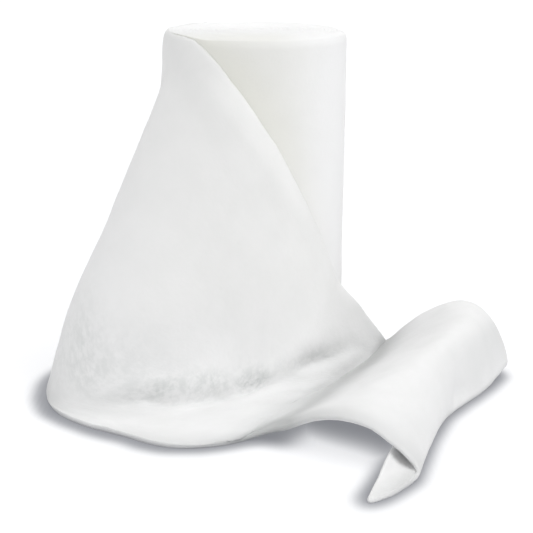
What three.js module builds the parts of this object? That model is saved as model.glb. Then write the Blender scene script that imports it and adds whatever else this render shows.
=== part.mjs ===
// Padding bandage roll: a strip of soft white wadding, wound into a roll that stands on its end.
// The strip's loose end is drawn away from the foot of the roll like a skirt, runs forward over the
// surface that the roll stands on, rises into a half tube and curls under at its cut end.
// Millimetres, +Z up. The origin is the centre of the roll's lower end.
// The strip runs anticlockwise, seen from above: from the back (+Y) by the left (-X) to the front (-Y),
// and on to the right (+X).

import * as THREE from "three";
import { mergeVertices } from "three/addons/utils/BufferGeometryUtils.js";

// Driving dimensions
const STRIP_WIDTH = 150; // also the height of the roll
const ROLL_RADIUS = 37.5;
const WADDING_THICKNESS = 2;
const CLEARANCE = 0.3;
const STEP_AZIMUTH = 105; // degrees from +X where the loose end leaves the roll's outermost turn
const RIM_ROUNDING = 3.2;

// How finely the surfaces are divided
const ROLL_SIDES = 72;
const RIM_STEPS = 4;
const ROLL_BANDS = 5;
const ROWS_ALONG = 64;
const POINTS_ACROSS = 22;

// Height of the strip's middle surface where it lies flat
const LAID = WADDING_THICKNESS / 2;

const WADDING_COLOUR = 0xeeeeea;
const WADDING_ROUGHNESS = 0.95;

// Indices of x, y and z in a place of the section table
const AXES = [0, 1, 2];

const radians = (degrees) => (degrees * Math.PI) / 180;

// Radius of the wound roll at an azimuth: it grows by one turn of the strip from one side of the step,
// the whole way round, to the other side.
function rollRadius(azimuth) {
  const turn = ((((azimuth - STEP_AZIMUTH) % 360) + 360) % 360) / 360;
  return ROLL_RADIUS - (WADDING_THICKNESS + CLEARANCE) * (1 - turn);
}

// A point of the strip's middle surface that lies on the roll, or a named gap off it.
function onRoll(azimuth, height, gap = CLEARANCE) {
  const radius = rollRadius(azimuth) + gap + WADDING_THICKNESS / 2;
  return [radius * Math.cos(radians(azimuth)), radius * Math.sin(radians(azimuth)), height];
}

// The first section stands upright against the step.
function atStep(height) {
  const radius = ROLL_RADIUS - WADDING_THICKNESS / 2;
  const azimuth = STEP_AZIMUTH + THREE.MathUtils.radToDeg(CLEARANCE / radius);
  return [radius * Math.cos(radians(azimuth)), radius * Math.sin(radians(azimuth)), height];
}

// How far across the strip each column of the section table lies, from the rim on the floor to the
// edge that starts on top of the roll.
const ACROSS = { rim: 0, foot: 0.25, waist: 0.5, shoulder: 0.8, top: 1 };

// One row for each section of the loose end: its distance along the strip, then where the strip's
// middle surface lies in each column.
const SECTIONS = [
  // along, rim, foot, waist, shoulder, top
  // leaves the roll, upright
  [0, atStep(0), atStep(37), atStep(75), atStep(120), atStep(STRIP_WIDTH)],
  // swings out behind and to the left, its upper edge still on the roll
  [22, [-34, 34.5, 0], [-31.5, 33.5, 37], [-30, 30, 75], [-28.5, 25, 119], onRoll(140, 149.9)],
  [46, [-59, 32, 0], [-52, 26.5, 36], [-45, 19, 73], [-38, 8.5, 118], onRoll(172, 149.8)],
  [70, [-80, 12, 0], [-71, 7, 36], [-58, 0, 72], [-39.8, -9, 120], onRoll(205, 149.6)],
  [90, [-87.5, -8, 0], [-77, -10, 36], [-61, -14, 70], [-40, -21, 116], onRoll(232, 147, 0.8)],
  // comes round to the front while its upper edge runs down the roll
  [108, [-87.5, -24, 0], [-75.5, -27, 32], [-56, -30, 63], [-29, -35, 106], onRoll(255, 133.5, 1.8)],
  [128, [-83, -43, 0], [-66, -47, 14], [-42, -46, 46], [-13, -42, 87], onRoll(278, 113, 2.2)],
  [152, [-71, -60, 0], [-43, -56, 6], [-20, -49, 30], [4, -41.5, 68], onRoll(298, 90, 2)],
  // its foot lies forward on the floor
  [178, [-52, -74, 0], [-30, -65, 5], [-8, -51, 11], [18.5, -37, 44], onRoll(321, 62, 1.8)],
  [198, [-31, -87, 0], [-14, -71, 7], [4, -53, 9.5], [28.5, -31, 26], onRoll(337, 46.2, 2)],
  [214, [-13, -85, 0], [3, -67, 7], [19, -45, 8], [40, -12, 14], [45.6, 2, 29.5]],
  // bottom of the valley beside the roll
  [226, [-3, -80, 1.5], [12, -60, 5], [26, -34.5, 4.5], [45.5, 2.5, 6], [54, 20.5, 14.5]],
  [237, [5.5, -79, 4.5], [20.5, -55, 4.5], [33.5, -25.5, 3.2], [50, 11, 3.2], [59.5, 31, 6.2]],
  // rises into the half tube
  [249, [13, -84, 9], [28.5, -60, 9.5], [42, -31, 9], [57.5, 5.5, 9.5], [67, 27, 14]],
  [261, [22, -92, 14.5], [37, -66, 14.5], [50.5, -37, 15], [66, -2, 16.8], [75.5, 20.8, 22.2]],
  // crest of the half tube, then down its right wall
  [277, [34, -102, 17.5], [47.5, -74, 19.5], [62, -45, 22], [79, -10, 25.5], [89.3, 13, 29.5]],
  [288, [42.3, -106.4, 15.9], [55, -78, 19.5], [70, -48, 24.5], [88, -13.5, 28], [96.4, 8.8, 28.6]],
  [300, [50.3, -110, 10.8], [62.3, -81.5, 14.8], [75.2, -50.5, 18.5], [94, -16, 22.5], [103, 4, 22.6]],
  [316, [56.4, -114, 1.5], [66, -85, 2], [76, -56, 2.5], [97.3, -19, 4], [108.8, 0, 8]],
  // curled under; the near corner of the cut end is drawn out
  [329, [50.3, -127, LAID], [58.5, -95, 2.5], [70, -62, 2], [95.5, -21.5, LAID], [107.5, 4, 2.5]],
  [341, [39.3, -138, LAID], [50.5, -104, 7], [62, -67, 7], [91, -25, 3], [105.5, 7, LAID]],
];

// Smooth curve through values given at knots: a cubic between two knots, whose slope at each knot is
// the mean of the slopes on its two sides, each weighted by the length of the other side.
function splineAt(knots, values, at) {
  const last = knots.length - 1;
  let low = 0;
  while (low < last - 1 && at >= knots[low + 1]) low += 1;
  const span = knots[low + 1] - knots[low];
  const rise = (i) => (values[i + 1] - values[i]) / (knots[i + 1] - knots[i]);
  const slope = (i) => {
    if (i === 0) return rise(0);
    if (i === last) return rise(last - 1);
    const before = knots[i] - knots[i - 1];
    const after = knots[i + 1] - knots[i];
    return (rise(i - 1) * after + rise(i) * before) / (before + after);
  };
  const s = (at - knots[low]) / span;
  const back = 1 - s;
  return (
    (1 + 2 * s) * back * back * values[low] +
    s * back * back * span * slope(low) +
    s * s * (3 - 2 * s) * values[low + 1] -
    s * s * back * span * slope(low + 1)
  );
}

// Moves a point of the middle surface straight out from the roll's axis until the strip clears the roll.
function keepOffRoll(point) {
  const reach = Math.hypot(point.x, point.y);
  const azimuth = THREE.MathUtils.radToDeg(Math.atan2(point.y, point.x));
  const least = rollRadius(azimuth) + CLEARANCE + WADDING_THICKNESS / 2;
  if (reach >= least) return point;
  return point.set((point.x * least) / reach, (point.y * least) / reach, point.z);
}

// The middle surface of the loose end as rows of points: smooth along the strip through each column,
// then smooth across each row.
function middleSurface() {
  const alongKnots = SECTIONS.map(([along]) => along);
  const columns = SECTIONS.map(([, ...places]) => places);
  const acrossKnots = Object.values(ACROSS);
  const length = alongKnots[alongKnots.length - 1];
  const rows = [];
  for (let i = 0; i < ROWS_ALONG; i += 1) {
    const along = (length * i) / (ROWS_ALONG - 1);
    const section = acrossKnots.map((_, column) =>
      AXES.map((axis) => splineAt(alongKnots, columns.map((places) => places[column][axis]), along)),
    );
    const row = [];
    for (let j = 0; j < POINTS_ACROSS; j += 1) {
      const across = j / (POINTS_ACROSS - 1);
      const place = AXES.map((axis) => splineAt(acrossKnots, section.map((point) => point[axis]), across));
      const point = new THREE.Vector3(...place);
      row.push(i === 0 ? point : keepOffRoll(point));
    }
    rows.push(row);
  }
  return rows;
}

// Unit normal of the middle surface at a grid point, from its neighbours along and across.
function surfaceNormal(rows, i, j) {
  const alongStep = rows[Math.min(i + 1, ROWS_ALONG - 1)][j].clone().sub(rows[Math.max(i - 1, 0)][j]);
  const acrossStep = rows[i][Math.min(j + 1, POINTS_ACROSS - 1)].clone().sub(rows[i][Math.max(j - 1, 0)]);
  return alongStep.cross(acrossStep).normalize();
}

// A closed mesh from points and triangles.
function closedGeometry(points, triangles) {
  const geometry = new THREE.BufferGeometry();
  const places = new Float32Array(points.flatMap((point) => point.toArray()));
  geometry.setAttribute("position", new THREE.BufferAttribute(places, 3));
  geometry.setIndex(triangles);
  const merged = mergeVertices(geometry, 1e-4);
  merged.computeVertexNormals();
  return merged;
}

// The loose end: the middle surface given its thickness, lifted where it would sink below the floor.
function looseEndGeometry() {
  const rows = middleSurface();
  const outer = [];
  const inner = [];
  for (let i = 0; i < ROWS_ALONG; i += 1) {
    for (let j = 0; j < POINTS_ACROSS; j += 1) {
      const half = surfaceNormal(rows, i, j).multiplyScalar(WADDING_THICKNESS / 2);
      const lift = Math.max(0, Math.abs(half.z) - rows[i][j].z);
      const middle = rows[i][j].clone().setZ(rows[i][j].z + lift);
      outer.push(middle.clone().add(half));
      inner.push(middle.clone().sub(half));
    }
  }
  const triangles = [];
  const quad = (a, b, c, d) => triangles.push(a, b, c, a, c, d);
  const offset = outer.length;
  const at = (i, j) => i * POINTS_ACROSS + j;
  for (let i = 0; i < ROWS_ALONG - 1; i += 1) {
    for (let j = 0; j < POINTS_ACROSS - 1; j += 1) {
      quad(at(i, j), at(i + 1, j), at(i + 1, j + 1), at(i, j + 1));
      quad(offset + at(i, j), offset + at(i, j + 1), offset + at(i + 1, j + 1), offset + at(i + 1, j));
    }
  }
  const lastRow = ROWS_ALONG - 1;
  const lastPoint = POINTS_ACROSS - 1;
  for (let i = 0; i < lastRow; i += 1) {
    quad(at(i, 0), offset + at(i, 0), offset + at(i + 1, 0), at(i + 1, 0));
    quad(at(i, lastPoint), at(i + 1, lastPoint), offset + at(i + 1, lastPoint), offset + at(i, lastPoint));
  }
  for (let j = 0; j < lastPoint; j += 1) {
    quad(at(0, j), at(0, j + 1), offset + at(0, j + 1), offset + at(0, j));
    quad(at(lastRow, j), offset + at(lastRow, j), offset + at(lastRow, j + 1), at(lastRow, j + 1));
  }
  return closedGeometry(outer.concat(inner), triangles);
}

// Heights of the roll's rings and how far each is drawn in: a quarter round at both rims, straight
// bands between.
function rollProfile() {
  const profile = [];
  for (let k = 0; k <= RIM_STEPS; k += 1) {
    const angle = radians((90 * k) / RIM_STEPS);
    const inset = RIM_ROUNDING * (1 - Math.sin(angle));
    profile.push({ inset, height: RIM_ROUNDING * (1 - Math.cos(angle)) });
  }
  for (let k = 1; k < ROLL_BANDS; k += 1) {
    const height = RIM_ROUNDING + ((STRIP_WIDTH - 2 * RIM_ROUNDING) * k) / ROLL_BANDS;
    profile.push({ inset: 0, height });
  }
  for (let k = RIM_STEPS; k >= 0; k -= 1) {
    const { inset, height } = profile[k];
    profile.push({ inset, height: STRIP_WIDTH - height });
  }
  return profile;
}

// The wound roll: rings that follow the spiral of its outermost turn, closed by the step and two flat ends.
function woundRollGeometry() {
  const profile = rollProfile();
  const perRing = ROLL_SIDES + 1;
  const points = [];
  for (const { inset, height } of profile) {
    for (let j = 0; j < perRing; j += 1) {
      const turn = j / ROLL_SIDES;
      const azimuth = radians(STEP_AZIMUTH + 360 * turn);
      const radius = ROLL_RADIUS - (WADDING_THICKNESS + CLEARANCE) * (1 - turn) - inset;
      points.push(new THREE.Vector3(radius * Math.cos(azimuth), radius * Math.sin(azimuth), height));
    }
  }
  const bottom = points.push(new THREE.Vector3(0, 0, 0)) - 1;
  const top = points.push(new THREE.Vector3(0, 0, STRIP_WIDTH)) - 1;
  const triangles = [];
  for (let k = 0; k < profile.length - 1; k += 1) {
    const low = k * perRing;
    const high = low + perRing;
    for (let j = 0; j < ROLL_SIDES; j += 1) {
      triangles.push(low + j, low + j + 1, high + j + 1, low + j, high + j + 1, high + j);
    }
    triangles.push(low + ROLL_SIDES, low, high, low + ROLL_SIDES, high, high + ROLL_SIDES);
  }
  const topRing = (profile.length - 1) * perRing;
  for (let j = 0; j < ROLL_SIDES; j += 1) {
    triangles.push(bottom, j + 1, j);
    triangles.push(top, topRing + j, topRing + j + 1);
  }
  triangles.push(bottom, 0, ROLL_SIDES);
  triangles.push(top, topRing + ROLL_SIDES, topRing);
  return closedGeometry(points, triangles);
}

function waddingPiece(name, geometry) {
  const material = new THREE.MeshStandardMaterial({
    color: WADDING_COLOUR,
    roughness: WADDING_ROUGHNESS,
    metalness: 0,
  });
  const mesh = new THREE.Mesh(geometry, material);
  mesh.name = name;
  return mesh;
}

const group = new THREE.Group();
group.name = "padding_bandage_roll";
group.add(waddingPiece("wound_roll", woundRollGeometry()));
group.add(waddingPiece("loose_end", looseEndGeometry()));

export default group;
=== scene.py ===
"""Padding bandage roll: a strip of soft white wadding, wound into a roll that stands on its end.

The loose end of the strip is drawn away from the foot of the roll like a skirt, lies forward on the
table, dips into a valley and rises into a half tube whose cut end is curled under. Everything is in the
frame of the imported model: +Z up, the origin at the centre of the roll's lower end, -Y towards the
viewer. Sizes in the tables are millimetres; meshes are metres.
"""

from __future__ import annotations

import logging
import math
from dataclasses import dataclass, field
from enum import Enum
from typing import Sequence

import bpy
import numpy as np
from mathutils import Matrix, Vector

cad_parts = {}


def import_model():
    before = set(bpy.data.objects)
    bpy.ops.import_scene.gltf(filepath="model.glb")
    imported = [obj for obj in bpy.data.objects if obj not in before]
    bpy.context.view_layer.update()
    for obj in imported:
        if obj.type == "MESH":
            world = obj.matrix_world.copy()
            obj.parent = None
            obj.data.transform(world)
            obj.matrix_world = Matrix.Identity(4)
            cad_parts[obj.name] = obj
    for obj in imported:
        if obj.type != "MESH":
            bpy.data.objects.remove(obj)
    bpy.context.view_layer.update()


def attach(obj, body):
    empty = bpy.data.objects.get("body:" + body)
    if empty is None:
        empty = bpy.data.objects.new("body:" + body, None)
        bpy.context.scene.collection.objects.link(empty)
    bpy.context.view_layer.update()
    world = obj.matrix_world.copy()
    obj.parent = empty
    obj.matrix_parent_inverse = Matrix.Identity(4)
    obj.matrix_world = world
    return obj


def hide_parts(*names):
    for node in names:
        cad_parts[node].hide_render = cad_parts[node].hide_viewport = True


MM = 0.001
SAME_PLACE = 0.001 * MM  # points that round to the same multiple of this are one
LATTICE = 97  # random numbers along each side of a table of lumps
PICTURE_SIDE = 533  # pixels, square

log = logging.getLogger("padding_bandage_roll")

Place = tuple[float, float, float]
Colour = tuple[float, float, float]
Socket = bpy.types.NodeSocket


@dataclass(frozen=True)
class StripSizes:
    """Driving sizes of the strip and its roll, in millimetres and degrees."""

    width: float = 150.0  # also the height of the roll
    roll_radius: float = 37.5
    thickness: float = 2.0
    clearance: float = 0.3
    step_azimuth: float = 105.0  # where the loose end leaves the outermost turn
    flat_length: float = 341.0

    def radius_at(self, azimuth: np.ndarray | float) -> np.ndarray:
        """Radius of the roll: it grows by one turn of the strip from one side of the step to the other.

        Args:
            azimuth: degrees from +X, anticlockwise.
        Returns:
            The radius in millimetres.
        """
        turn = np.mod(np.asarray(azimuth, float) - self.step_azimuth, 360.0) / 360.0
        return self.roll_radius - (self.thickness + self.clearance) * (1.0 - turn)


STRIP = StripSizes()
LAID = STRIP.thickness / 2  # height of the middle surface where the strip lies flat


def on_roll(azimuth: float, height: float, gap: float = STRIP.clearance) -> Place:
    """A place of the strip's middle surface on the roll, or a named gap off it."""
    radius = float(STRIP.radius_at(azimuth)) + gap + STRIP.thickness / 2
    angle = math.radians(azimuth)
    return (radius * math.cos(angle), radius * math.sin(angle), height)


def at_step(height: float) -> Place:
    """A place of the first section, which stands upright against the step."""
    radius = STRIP.roll_radius - STRIP.thickness / 2
    angle = math.radians(STRIP.step_azimuth) + STRIP.clearance / radius
    return (radius * math.cos(angle), radius * math.sin(angle), height)


def round_axis(radius: np.ndarray, angle: np.ndarray, height: np.ndarray) -> np.ndarray:
    """Places at a radius from the roll's axis, an angle in radians and a height."""
    return np.stack([radius * np.cos(angle), radius * np.sin(angle), height], -1)


def azimuth_of(places: np.ndarray) -> np.ndarray:
    """Degrees from +X, anticlockwise, -180 to 180."""
    return np.degrees(np.arctan2(places[..., 1], places[..., 0]))


@dataclass(frozen=True)
class Section:
    """Where the strip's middle surface lies at one distance along it, in five columns across it."""

    along: float
    rim: Place
    foot: Place
    waist: Place
    shoulder: Place
    top: Place

    def places(self) -> tuple[Place, ...]:
        """The five places, from the rim on the table to the edge that starts on top of the roll."""
        return (self.rim, self.foot, self.waist, self.shoulder, self.top)


ACROSS = (0.0, 0.25, 0.5, 0.8, 1.0)  # shares of the width at which the five columns lie

SECTIONS = (
    # leaves the roll, upright
    Section(0, at_step(0), at_step(37), at_step(75), at_step(120), at_step(150)),
    # swings out behind and to the left, its upper edge still on the roll
    Section(22, (-34, 34.5, 0), (-31.5, 33.5, 37), (-30, 30, 75), (-28.5, 25, 119), on_roll(140, 149.9)),
    Section(46, (-59, 32, 0), (-52, 26.5, 36), (-45, 19, 73), (-38, 8.5, 118), on_roll(172, 149.8)),
    Section(70, (-80, 12, 0), (-71, 7, 36), (-58, 0, 72), (-39.8, -9, 120), on_roll(205, 149.6)),
    Section(90, (-87.5, -8, 0), (-77, -10, 36), (-61, -14, 70), (-40, -21, 116), on_roll(232, 147, 0.8)),
    # comes round to the front while its upper edge runs down the roll
    Section(108, (-87.5, -24, 0), (-75.5, -27, 32), (-56, -30, 63), (-29, -35, 106),
            on_roll(255, 133.5, 1.8)),
    Section(128, (-83, -43, 0), (-66, -47, 14), (-42, -46, 46), (-13, -42, 87), on_roll(278, 113, 2.2)),
    Section(152, (-71, -60, 0), (-43, -56, 6), (-20, -49, 30), (4, -41.5, 68), on_roll(298, 90, 2)),
    # its foot lies forward on the table
    Section(178, (-52, -74, 0), (-30, -65, 5), (-8, -51, 11), (18.5, -37, 44), on_roll(321, 62, 1.8)),
    Section(198, (-31, -87, 0), (-14, -71, 7), (4, -53, 9.5), (28.5, -31, 26), on_roll(337, 46.2, 2)),
    Section(214, (-13, -85, 0), (3, -67, 7), (19, -45, 8), (40, -12, 14), (45.6, 2, 29.5)),
    # bottom of the valley beside the roll
    Section(226, (-3, -80, 1.5), (12, -60, 5), (26, -34.5, 4.5), (45.5, 2.5, 6), (54, 20.5, 14.5)),
    Section(237, (5.5, -79, 4.5), (20.5, -55, 4.5), (33.5, -25.5, 3.2), (50, 11, 3.2), (59.5, 31, 6.2)),
    # rises into the half tube
    Section(249, (13, -84, 9), (28.5, -60, 9.5), (42, -31, 9), (57.5, 5.5, 9.5), (67, 27, 14)),
    Section(261, (22, -92, 14.5), (37, -66, 14.5), (50.5, -37, 15), (66, -2, 16.8), (75.5, 20.8, 22.2)),
    # crest of the half tube, then down its right wall
    Section(277, (34, -102, 17.5), (47.5, -74, 19.5), (62, -45, 22), (79, -10, 25.5), (89.3, 13, 29.5)),
    Section(288, (42.3, -106.4, 15.9), (55, -78, 19.5), (70, -48, 24.5), (88, -13.5, 28),
            (96.4, 8.8, 28.6)),
    Section(300, (50.3, -110, 10.8), (62.3, -81.5, 14.8), (75.2, -50.5, 18.5), (94, -16, 22.5),
            (103, 4, 22.6)),
    Section(316, (58.6, -117, 2.4), (66.5, -86, 2.4), (76, -56, 2.5), (97.3, -19, 4), (108.8, 0, 8)),
    # curled under; the near corner of the cut end is drawn out
    Section(329, (50.8, -129.5, LAID), (58, -95, 2.5), (70, -62, 2), (95.5, -21.5, LAID),
            (107.5, 4, 2.5)),
    Section(341, (39.3, -138, LAID), (50.5, -104, 7), (62, -67, 7), (91, -25, 3), (105.5, 7, LAID)),
)


def curve_weights(knots: Sequence[float], at: np.ndarray) -> np.ndarray:
    """How much the value at each knot counts at each position on a smooth curve through the knots.

    Between two knots the curve is a cubic; its slope at a knot is the mean of the slopes on its two
    sides, each weighted by the length of the other side, and at an end the slope of the one side.

    Args:
        knots: increasing positions, n of them.
        at: positions at which the curve is wanted.
    Returns:
        Array of the shape of at, with a last axis of length n; its product with the values is the curve.
    """
    knots = np.asarray(knots, float)
    unit = np.eye(len(knots))
    span = np.diff(knots)
    rise = np.diff(unit, axis=0) / span[:, None]
    weight = (span[1:] / (span[1:] + span[:-1]))[:, None]
    slope = np.concatenate([rise[:1], rise[:-1] * weight + rise[1:] * (1 - weight), rise[-1:]])
    low = np.clip(np.searchsorted(knots, at, side="right") - 1, 0, len(knots) - 2)
    s = ((at - knots[low]) / span[low])[..., None]
    step = span[low][..., None]
    back = 1 - s
    return (
        (1 + 2 * s) * back**2 * unit[low]
        + s * back**2 * step * slope[low]
        + s**2 * (3 - 2 * s) * unit[low + 1]
        - s**2 * back * step * slope[low + 1]
    )


def bell(distance: np.ndarray, width: np.ndarray | float) -> np.ndarray:
    """exp(-(distance / width)^2)."""
    return np.exp(-((distance / width) ** 2))


@dataclass(frozen=True)
class Ramp:
    """A share that rises smoothly from 0 at one value to 1 at another."""

    start: float
    end: float

    def up(self, value: np.ndarray) -> np.ndarray:
        """0 up to start, 1 from end on, and 3s^2 - 2s^3 between them, at s of the way."""
        s = np.clip((value - self.start) / (self.end - self.start), 0, 1)
        return s * s * (3 - 2 * s)

    def down(self, value: np.ndarray) -> np.ndarray:
        """What is left of 1."""
        return 1 - self.up(value)


@dataclass(frozen=True)
class Lumps:
    """Smooth seeded unevenness."""

    size: float  # distance between the points of its lattice
    seed: int
    amount: float = 1.0  # it runs from minus this to this

    def at(self, u: np.ndarray, v: np.ndarray) -> np.ndarray:
        """Its values at places.

        Random numbers on a square lattice, blended between the four nearest lattice points with the
        smooth weight 3w^2 - 2w^3 in each direction.

        Args:
            u, v: coordinates, in the same unit as the size.
        Returns:
            Array of the shape of u.
        """
        table = np.random.default_rng(self.seed).uniform(-1.0, 1.0, (LATTICE, LATTICE))
        a, b = np.floor(u / self.size), np.floor(v / self.size)
        p, q = u / self.size - a, v / self.size - b
        i, j = a.astype(int) % LATTICE, b.astype(int) % LATTICE
        k, m = (i + 1) % LATTICE, (j + 1) % LATTICE
        p, q = p * p * (3 - 2 * p), q * q * (3 - 2 * q)
        near = table[i, j] * (1 - p) + table[k, j] * p
        far = table[i, m] * (1 - p) + table[k, m] * p
        return self.amount * (near * (1 - q) + far * q)


def near_path(u: np.ndarray, v: np.ndarray, path: np.ndarray) -> tuple[np.ndarray, np.ndarray]:
    """Distance of every point to a path of straight stretches, and how far along the path it is nearest.

    Args:
        u, v: coordinates of the points.
        path: array of (u, v) corners.
    Returns:
        The distances, below 0 on the path's right, and positions along the path from 0 to the number of
        its stretches.
    """
    best = np.full(u.shape, np.inf)
    where = np.zeros(u.shape)
    for k, (start, end) in enumerate(zip(path[:-1], path[1:])):
        step = end - start
        du, dv = u - start[0], v - start[1]
        share = np.clip((du * step[0] + dv * step[1]) / (step @ step), 0, 1)
        distance = np.hypot(du - share * step[0], dv - share * step[1])
        closer = distance < np.abs(best)
        left = step[0] * dv >= step[1] * du
        best = np.where(closer, np.where(left, distance, -distance), best)
        where = np.where(closer, k + share, where)
    return best, where


@dataclass(frozen=True)
class Crease:
    """A soft trough or ridge, or a patch of painted shade, along a path on the strip.

    The surface moves along its normal by height * strength * exp(-(distance / width)^2), with one width
    on the path's left and one on its right. Each stop of the path is (millimetres along the strip,
    millimetres across it, strength).
    """

    stops: tuple[tuple[float, float, float], ...]
    left: float  # width on the left, which is up the wall for a path that runs along the strip
    right: float
    height: float = 0.0  # below 0 for a trough
    shade_in_patches: float = 0.0  # how much painted shade it gets, broken up into patches
    shade: float = 0.0  # how much painted shade it gets, evenly

    def weight(self, along: np.ndarray, across: np.ndarray) -> np.ndarray:
        """Strength times the bell curve of the distance to the path."""
        stops = np.array(self.stops)
        distance, where = near_path(along, across, stops[:, :2])
        strength = np.interp(where, np.arange(len(stops)), stops[:, 2])
        return strength * bell(distance, np.where(distance > 0, self.left, self.right))


@dataclass
class Surface:
    """A mesh as arrays, before it goes into Blender."""

    points: np.ndarray  # n x 3, metres
    quads: np.ndarray  # m x 4
    uv: np.ndarray  # m x 4 x 2, metres on the strip
    marks: dict[str, np.ndarray] = field(default_factory=dict)  # a number for each point


def grid_quads(rows: int, columns: int, flip: bool = False) -> np.ndarray:
    """Quads of a grid whose points are numbered row by row.

    Args:
        rows, columns: numbers of points.
        flip: turns the quads over.
    Returns:
        (rows - 1) * (columns - 1) quads.
    """
    number = np.arange(rows * columns).reshape(rows, columns)
    corners = [number[:-1, :-1], number[1:, :-1], number[1:, 1:], number[:-1, 1:]]
    quads = np.stack(corners, -1).reshape(-1, 4)
    return quads[:, ::-1] if flip else quads


def with_split_corners(quads: np.ndarray, rows: int, columns: int, flip: bool) -> np.ndarray:
    """Splits the four corner quads of a grid into triangles, along the diagonal from the grid's corner.

    Where two faces meet at their edges, no triangle then has all its points on the edge.

    Args:
        quads: what grid_quads gives.
        rows, columns, flip: what it was given.
    Returns:
        The quads, and triangles as quads whose last point is repeated.
    """
    corners = [0, columns - 2, (rows - 2) * (columns - 1), (rows - 1) * (columns - 1) - 1]
    turned = [int(flip), int(not flip), int(not flip), int(flip)]
    cut = np.array([np.roll(quads[corner], -turn) for corner, turn in zip(corners, turned)])
    return np.concatenate([np.delete(quads, corners, axis=0), cut[:, [0, 1, 2, 2]], cut[:, [0, 2, 3, 3]]])


def joined(parts: Sequence[Surface]) -> Surface:
    """One surface of several, whose points at the same place are made one."""
    offsets = np.cumsum([0] + [len(part.points) for part in parts[:-1]])
    points = np.concatenate([part.points for part in parts])
    quads = np.concatenate([part.quads + offset for part, offset in zip(parts, offsets)])
    uv = np.concatenate([part.uv for part in parts])
    keys = np.round(points / SAME_PLACE).astype(np.int64)
    _, first, same = np.unique(keys, axis=0, return_index=True, return_inverse=True)
    marks = {}
    for name in sorted({name for part in parts for name in part.marks}):
        values = [part.marks.get(name, np.zeros(len(part.points))) for part in parts]
        marks[name] = np.concatenate(values)[first]
    return Surface(points[first], same.ravel()[quads], uv, marks)


def to_object(name: str, surface: Surface, material: bpy.types.Material) -> bpy.types.Object:
    """Puts a surface into the scene as a smooth mesh with its UV map and marks.

    Args:
        name: the piece's name.
        surface: its arrays; a quad with a repeated point becomes a triangle.
        material: its finish.
    Returns:
        The new object, at the origin.
    """
    quads = surface.quads
    keep = quads != np.roll(quads, 1, axis=1)
    counts = keep.sum(1)
    whole = counts >= 3
    corners = quads[whole][keep[whole]]
    counts = counts[whole]
    starts = np.concatenate([[0], np.cumsum(counts)[:-1]])
    mesh = bpy.data.meshes.new(name)
    mesh.vertices.add(len(surface.points))
    mesh.vertices.foreach_set("co", surface.points.astype(np.float32).ravel())
    mesh.loops.add(len(corners))
    mesh.loops.foreach_set("vertex_index", corners.astype(np.int32))
    mesh.polygons.add(len(counts))
    mesh.polygons.foreach_set("loop_start", starts.astype(np.int32))
    mesh.update(calc_edges=True)
    layer = mesh.uv_layers.new(name="strip")
    layer.data.foreach_set("uv", surface.uv[whole][keep[whole]].astype(np.float32).ravel())
    for mark, values in surface.marks.items():
        mesh.attributes.new(mark, "FLOAT", "POINT").data.foreach_set("value", values.astype(np.float32))
    mesh.shade_smooth()
    mesh.validate()
    mesh.materials.append(material)
    piece = bpy.data.objects.new(name, mesh)
    bpy.context.collection.objects.link(piece)
    return piece


class Tree:
    """Builds a material's node tree with short calls."""

    def __init__(self, material: bpy.types.Material) -> None:
        """Empties the material's tree and makes its output."""
        material.use_nodes = True
        self.tree = material.node_tree
        self.tree.nodes.clear()
        self.output = self.tree.nodes.new("ShaderNodeOutputMaterial")

    def node(self, kind: str, values: dict[str | int, object], **settings: object) -> bpy.types.Node:
        """A new node; a value that is a socket is linked, and any other is set on the input."""
        made = self.tree.nodes.new(kind)
        for name, setting in settings.items():
            setattr(made, name, setting)
        for name, value in values.items():
            if isinstance(value, Socket):
                self.tree.links.new(value, made.inputs[name])
            else:
                made.inputs[name].default_value = value
        return made

    def math(self, operation: str, first: object, second: object = 0.0, third: object = 0.0) -> Socket:
        """The result of a Math node."""
        values = {0: first, 1: second, 2: third}
        return self.node("ShaderNodeMath", values, operation=operation).outputs[0]

    def mark(self, name: str) -> Socket:
        """The number that the mesh holds for each point under a name."""
        return self.node("ShaderNodeAttribute", {}, attribute_name=name).outputs["Fac"]

    def mix(self, share: Socket, first: Socket | Colour, second: Colour) -> Socket:
        """The first colour, and a share of the second in it."""
        first = first if isinstance(first, Socket) else (*first, 1.0)
        values = {"Factor": share, 6: first, 7: (*second, 1.0)}
        return self.node("ShaderNodeMix", values, data_type="RGBA").outputs[2]

    def stretched(self, value: Socket, given: tuple[float, float], wanted: tuple[float, float]) -> Socket:
        """A value whose given range is stretched to the wanted one and cut off beyond it."""
        values = {"Value": value, "From Min": given[0], "From Max": given[1]}
        values |= {"To Min": wanted[0], "To Max": wanted[1]}
        return self.node("ShaderNodeMapRange", values).outputs[0]

    def finish(self, values: dict[str | int, object]) -> None:
        """Makes the shader with its values and links it to the output."""
        shader = self.node("ShaderNodeBsdfPrincipled", values)
        self.tree.links.new(shader.outputs[0], self.output.inputs["Surface"])


@dataclass(frozen=True)
class Noise:
    """Noise on the strip from 0 to 1."""

    scale: float  # its features are about 1 / scale metres long
    detail: float
    roughness: float = 0.5

    def add(self, tree: Tree, place: Socket, output: str = "Fac") -> Socket:
        """One of its outputs, at coordinates in metres."""
        values = {"Vector": place, "Scale": self.scale, "Detail": self.detail, "Roughness": self.roughness}
        return tree.node("ShaderNodeTexNoise", values, noise_dimensions="2D").outputs[output]


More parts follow.
